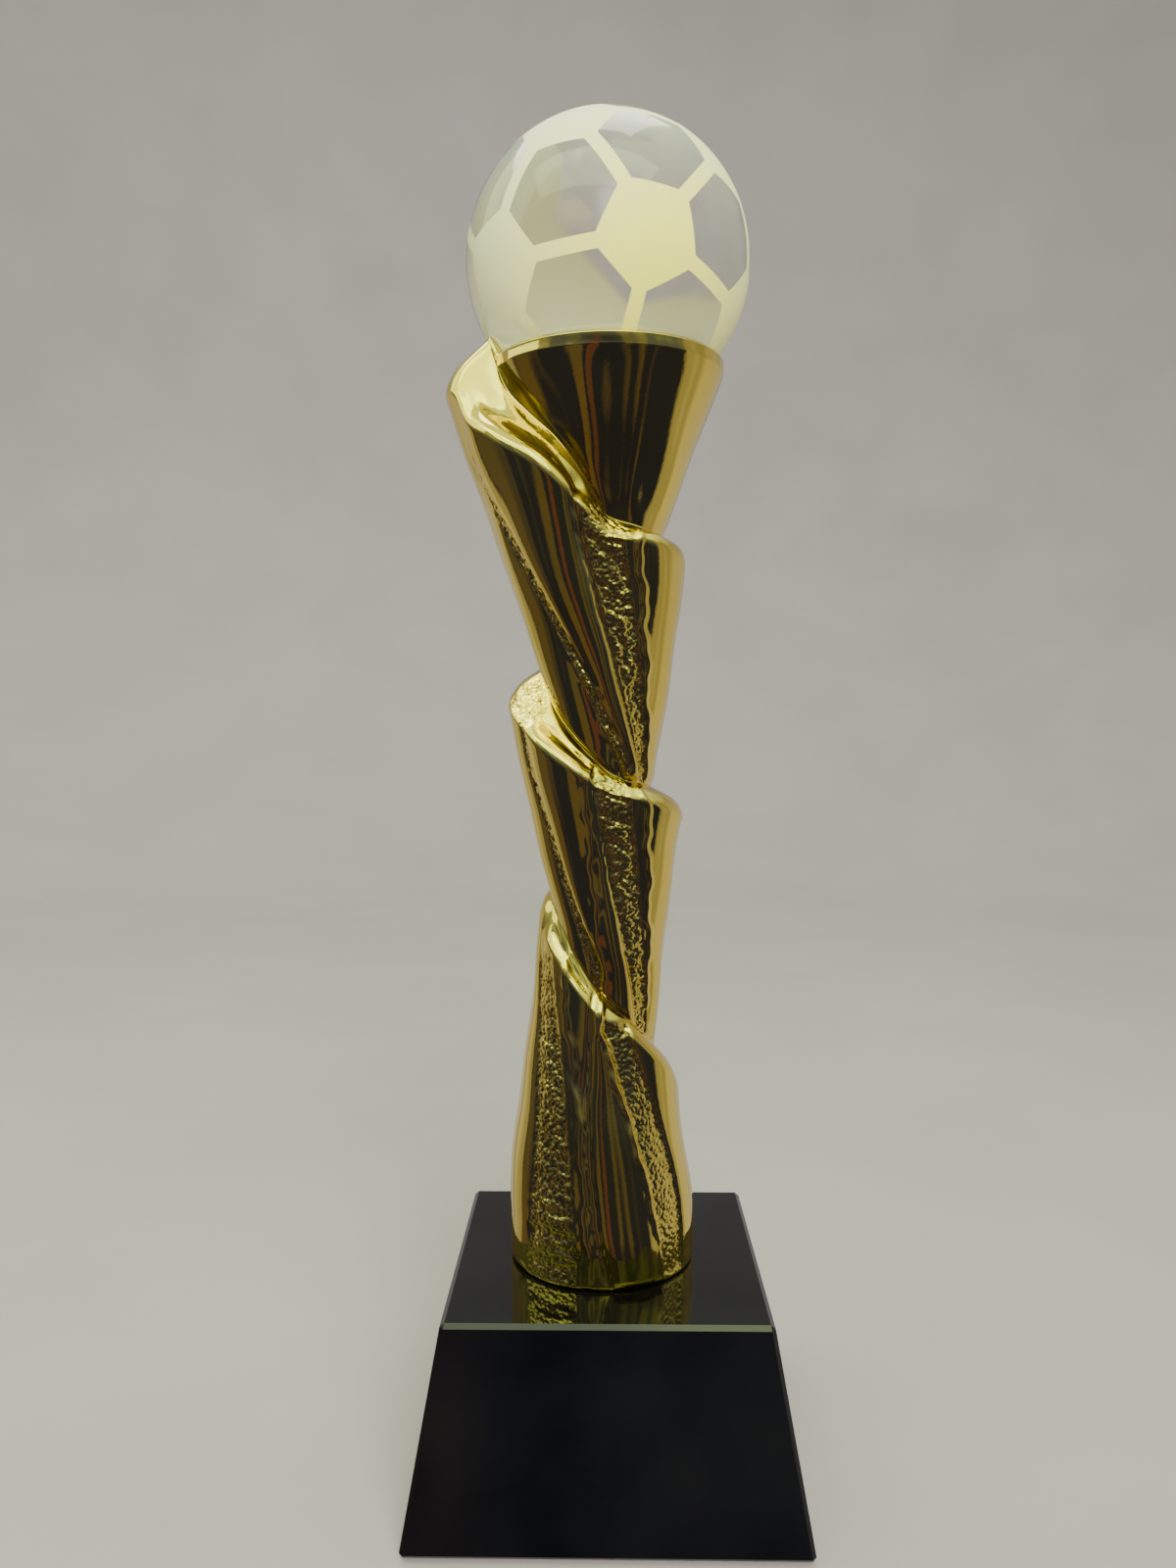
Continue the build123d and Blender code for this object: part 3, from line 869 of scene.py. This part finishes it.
# colours of the room that the gold reflects, by how far up the ray looks: -1 is down, 1 is up
BRIGHTEST = 3.2
DARK_ROOM = [(-1.0, (0.05, 0.05, 0.08)), (-0.5, (0.018, 0.020, 0.075)), (0.0, (0.024, 0.029, 0.10)),
             (0.25, (0.09, 0.11, 0.26)), (0.55, (0.14, 0.19, 0.28)), (0.8, (0.35, 0.45, 0.4)),
             (0.93, (0.9, 1.1, 0.8))]
BRICK_ROOM = [(-1.0, (0.06, 0.035, 0.05)), (0.0, (0.11, 0.05, 0.10)), (0.35, (0.16, 0.08, 0.12)),
              (0.8, (0.35, 0.45, 0.4)), (0.93, (0.9, 1.1, 0.8))]
LIGHT_ROOM = [(-1.0, (0.10, 0.09, 0.09)), (-0.5, (0.11, 0.08, 0.08)), (0.0, (0.08, 0.08, 0.11)),
              (0.25, (0.16, 0.17, 0.22)), (0.55, (0.5, 0.6, 0.5)), (0.8, (1.1, 1.4, 0.8)),
              (0.93, (1.8, 2.3, 1.2))]
DIM_REAR = [(-1.0, (0.30, 0.28, 0.27)), (-0.2, (0.32, 0.31, 0.30)), (0.45, (0.28, 0.27, 0.26)),
            (0.8, (0.8, 1.0, 0.8)), (0.93, (1.6, 2.0, 1.7))]
PALE_REAR = [(-1.0, (0.48, 0.45, 0.43)), (-0.2, (0.54, 0.51, 0.49)), (0.45, (0.36, 0.34, 0.33)),
             (0.8, (1.0, 1.3, 0.9)), (0.93, (1.7, 2.2, 1.2))]


def studio_world():
    """Dark, brick and light streaks of a room in front, a pale wall behind, a bright ceiling."""
    world = bpy.data.worlds.new("studio")
    bpy.context.scene.world = world
    world.use_nodes = True
    nodes, links = world.node_tree.nodes, world.node_tree.links
    sky = nodes["Background"]
    place = nodes.new("ShaderNodeTexCoord")
    split = nodes.new("ShaderNodeSeparateXYZ")
    links.new(place.outputs["Generated"], split.inputs[0])

    def by_height(stops):
        remap = nodes.new("ShaderNodeMapRange")
        remap.inputs["From Min"].default_value = -1
        remap.inputs["From Max"].default_value = 1
        links.new(split.outputs["Z"], remap.inputs["Value"])
        ramp = nodes.new("ShaderNodeValToRGB")
        while len(ramp.color_ramp.elements) < len(stops):
            ramp.color_ramp.elements.new(0.5)
        for element, (position, colour) in zip(ramp.color_ramp.elements, stops):
            element.position = (position + 1) / 2
            element.color = (*(c / BRIGHTEST for c in colour), 1)
        links.new(remap.outputs["Result"], ramp.inputs["Fac"])
        return ramp.outputs["Color"]

    rearward = nodes.new("ShaderNodeVectorMath")
    rearward.operation = "DOT_PRODUCT"
    rearward.inputs[1].default_value = (0.25, 1, 0)
    links.new(place.outputs["Generated"], rearward.inputs[0])
    flatten = nodes.new("ShaderNodeMapping")
    flatten.inputs["Scale"].default_value = (1, 1, 0.2)
    links.new(place.outputs["Generated"], flatten.inputs["Vector"])
    streaks = nodes.new("ShaderNodeTexNoise")
    streaks.inputs["Scale"].default_value = 2.5
    streaks.inputs["Detail"].default_value = 1
    links.new(flatten.outputs["Vector"], streaks.inputs["Vector"])

    def blend(source, low, high, first, second):
        """The first colour where the source is below low, the second where it is above high."""
        fade = nodes.new("ShaderNodeMapRange")
        fade.inputs["From Min"].default_value = low
        fade.inputs["From Max"].default_value = high
        links.new(source, fade.inputs["Value"])
        mix = nodes.new("ShaderNodeMix")
        mix.data_type = "RGBA"
        links.new(fade.outputs["Result"], mix.inputs["Factor"])
        links.new(first, mix.inputs[6])
        links.new(second, mix.inputs[7])
        return mix.outputs[2]

    streak = streaks.outputs["Fac"]
    shade = blend(streak, 0.30, 0.37, by_height(BRICK_ROOM), by_height(DARK_ROOM))
    room = blend(streak, 0.49, 0.58, shade, by_height(LIGHT_ROOM))
    wall = blend(streak, 0.40, 0.50, by_height(DIM_REAR), by_height(PALE_REAR))
    links.new(blend(rearward.outputs["Value"], 0.0, 0.1, room, wall), sky.inputs["Color"])
    sky.inputs["Strength"].default_value = BRIGHTEST


def studio_lights():
    warm, lemon, pale = (1.0, 0.96, 0.92), (0.84, 1.0, 0.56), (1.0, 0.98, 0.88)
    area_light("key", place=(-0.2, 0.6, 1.6), aim=(0, 1.2, 0.2), size=(1.2, 1.2), watts=14, tint=warm)
    area_light("window", place=(-0.1, -0.4, 0.9), aim=(0, 0, 0.3), size=(1.0, 0.4), watts=2.5, tint=lemon)
    area_light("left", place=(-0.85, 0.05, 1.1), aim=(0, 0, 0.2), size=(1.0, 1.0), watts=4, tint=lemon)
    fill = area_light("fill", place=(0.3, -1.5, 0.9), aim=(0, 0, 0.33), size=(1.0, 1.0), watts=22, tint=pale)
    fill.data.spread = math.radians(100)
    fill.visible_glossy = False


def front_camera():
    """The camera of the photograph, as fitted to the outlines of the ball and the base."""
    degrees_down, degrees_left = 3.2, 0.82
    data = bpy.data.cameras.new("camera")
    camera = bpy.data.objects.new("camera", data)
    bpy.context.scene.collection.objects.link(camera)
    data.sensor_fit = "VERTICAL"
    data.sensor_height = 36
    data.sensor_width = 36
    data.lens = 26.76
    data.clip_start = 0.01
    camera.location = Vector((-0.8, -338.1, 214.9)) * MM
    camera.rotation_euler = (math.radians(90 - degrees_down), 0, math.radians(degrees_left))
    bpy.context.scene.camera = camera


studio_bowl()
studio_world()
studio_lights()
front_camera()
